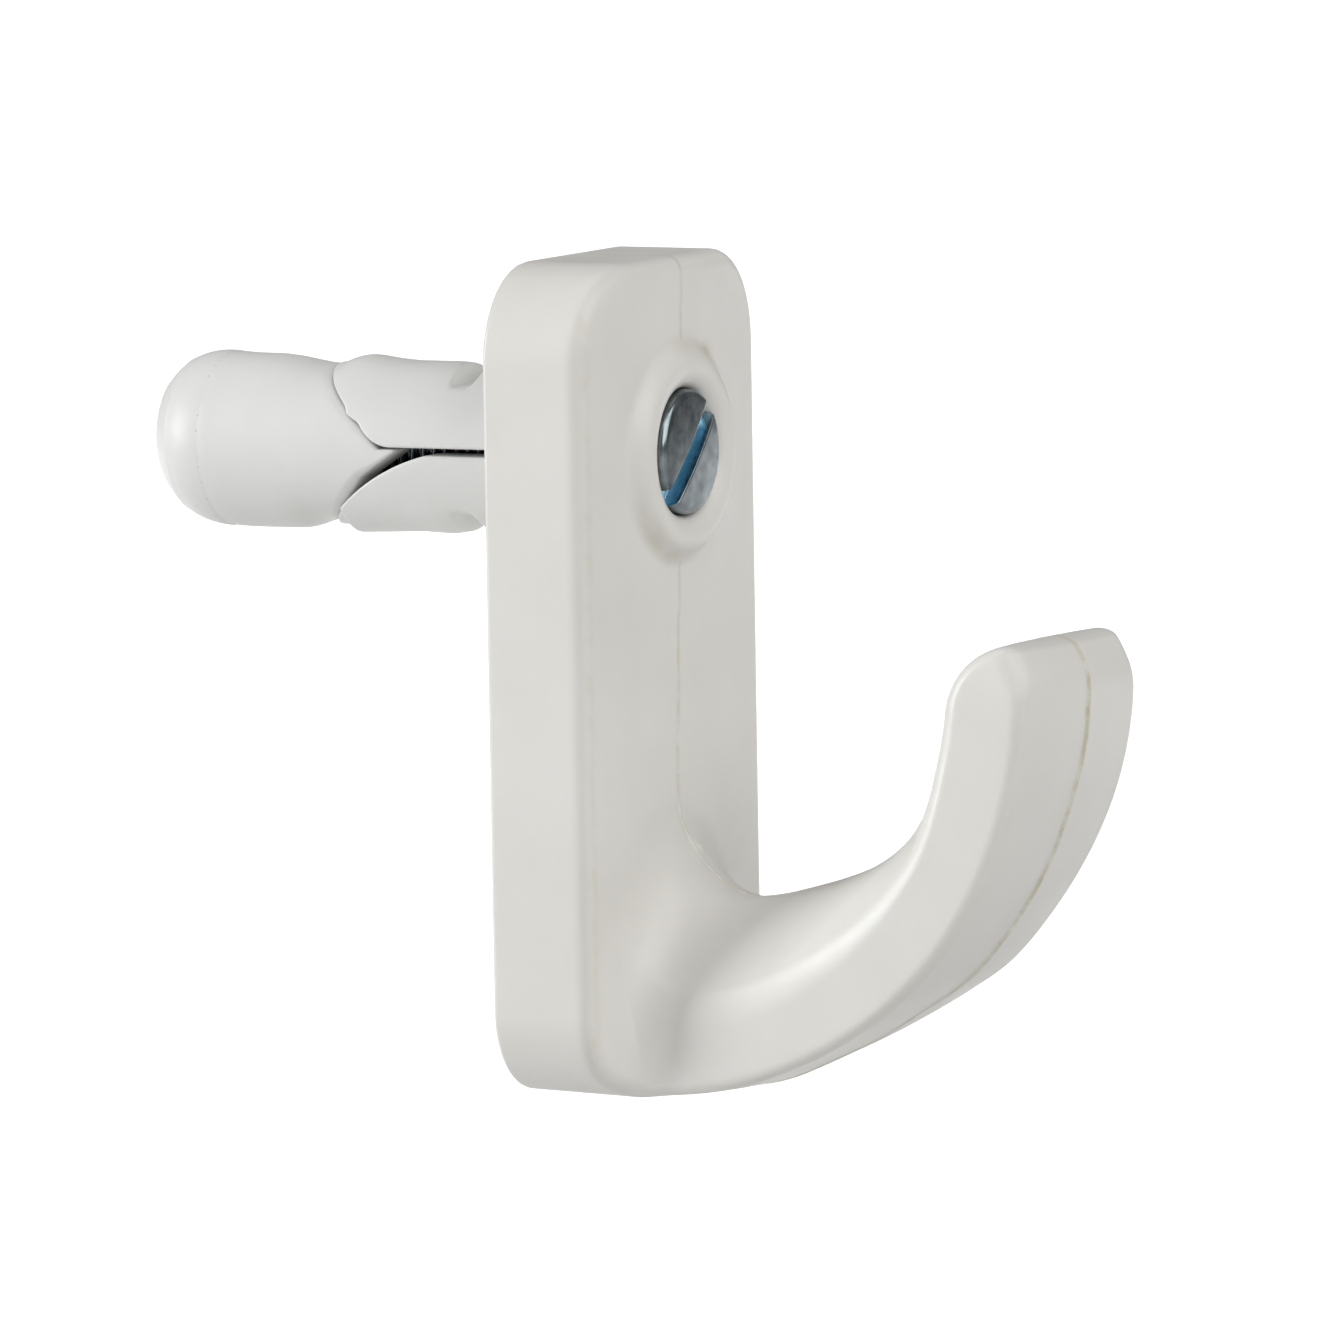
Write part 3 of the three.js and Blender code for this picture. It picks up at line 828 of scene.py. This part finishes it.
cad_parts["captive_nut"].data.materials.clear()
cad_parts["captive_nut"].data.materials.append(NUT_STEEL)

# ------------------------------------------------------------------ studio

FLOOR_Z = -0.08
FLOOR_HALF_SIZE = 6.0


def add_floor():
    mesh = bpy.data.meshes.new("floor")
    signs = ((-1, -1), (1, -1), (1, 1), (-1, 1))
    corners = [(u * FLOOR_HALF_SIZE, v * FLOOR_HALF_SIZE, FLOOR_Z) for u, v in signs]
    mesh.from_pydata(corners, [], [(0, 1, 2, 3)])
    floor = bpy.data.objects.new("floor", mesh)
    bpy.context.scene.collection.objects.link(floor)
    s = Shader("floor_paper")
    paper = s.blend(s.noise(8), (0.82, 0.82, 0.82), (0.8, 0.8, 0.8))
    s.link(paper, s.principled.inputs["Base Color"])
    s.principled.inputs["Roughness"].default_value = 0.9
    mesh.materials.append(s.material)
    return floor


def aim_light(name, light, place, aim):
    lamp = bpy.data.objects.new(name, light)
    lamp.location = place
    lamp.rotation_euler = (Vector(aim) - Vector(place)).to_track_quat("-Z", "Y").to_euler()
    bpy.context.scene.collection.objects.link(lamp)


def add_softbox(name, direction, width, height, power, colour=(1, 1, 1)):
    light = bpy.data.lights.new(name, "AREA")
    light.shape = "RECTANGLE"
    light.size, light.size_y = width, height
    light.energy = power
    light.color = colour
    aim_light(name, light, MIDDLE + LIGHT_DISTANCE * direction, MIDDLE)


def add_backdrop_light():
    """A pool of light on the floor behind the object, which makes the background white."""
    light = bpy.data.lights.new("backdrop", "SPOT")
    light.spot_size = np.radians(46)
    light.spot_blend = 0.5
    light.shadow_soft_size = 0.05
    light.energy = 360
    pool = POOL_DISTANCE * BEHIND
    aim_light("backdrop", light, pool + Vector((0, 0, 2.6)), pool)


def add_world():
    """An even, dim surround."""
    world = bpy.data.worlds.new("studio")
    world.use_nodes = True
    surround = world.node_tree.nodes["Background"]
    surround.inputs["Color"].default_value = (1, 1, 1, 1)
    surround.inputs["Strength"].default_value = SURROUND
    bpy.context.scene.world = world


SURROUND = 0.21
MIDDLE = Vector((0, -0.01, -0.012))
BEHIND_LEFT = Vector((-0.547, 0.811, 0.208))
FRONT_LEFT = Vector((-0.31, -0.72, 0.62))
OVERHEAD = Vector((0.2, 0.1, 0.97))
BEHIND = Vector((0.885, 0.455, 0))  # away from the camera, along the floor
LIGHT_DISTANCE = 1.3
POOL_DISTANCE = 1.15

add_floor()
add_softbox("window", BEHIND_LEFT, 0.5, 0.7, 11.3, (0.99, 1.0, 1.0))
add_softbox("lamp", FRONT_LEFT, 1.2, 1.2, 10.7, (1.0, 0.985, 0.965))
add_softbox("ceiling", OVERHEAD, 0.8, 0.8, 1.6)
add_backdrop_light()
add_world()
bpy.context.scene.view_settings.view_transform = "Standard"

# ------------------------------------------------------------------ camera

CAMERA_AZIMUTH = np.radians(-62.8)
CAMERA_ELEVATION = np.radians(5.4)
CAMERA_ROLL = np.radians(1.02)
CAMERA_DISTANCE = 1.230
CAMERA_TARGET = Vector((0.00124, -0.00492, -0.01210))
VIEW_WIDTH = 0.07414  # what the frame takes in at the target
SENSOR = 36.0


def add_camera():
    sin_a, cos_a = np.sin(CAMERA_AZIMUTH), np.cos(CAMERA_AZIMUTH)
    sin_e, cos_e = np.sin(CAMERA_ELEVATION), np.cos(CAMERA_ELEVATION)
    back = Vector((sin_a * cos_e, -cos_a * cos_e, sin_e))
    right = Vector((cos_a, sin_a, 0))
    up = back.cross(right)
    turned = np.cos(CAMERA_ROLL) * right - np.sin(CAMERA_ROLL) * up
    raised = np.sin(CAMERA_ROLL) * right + np.cos(CAMERA_ROLL) * up
    data = bpy.data.cameras.new("camera")
    data.sensor_width = SENSOR
    data.lens = SENSOR * CAMERA_DISTANCE / VIEW_WIDTH
    camera = bpy.data.objects.new("camera", data)
    place = CAMERA_TARGET + CAMERA_DISTANCE * back
    turn = Matrix((turned, raised, back)).transposed().to_4x4()
    camera.matrix_world = Matrix.Translation(place) @ turn
    bpy.context.scene.collection.objects.link(camera)
    bpy.context.scene.camera = camera


add_camera()
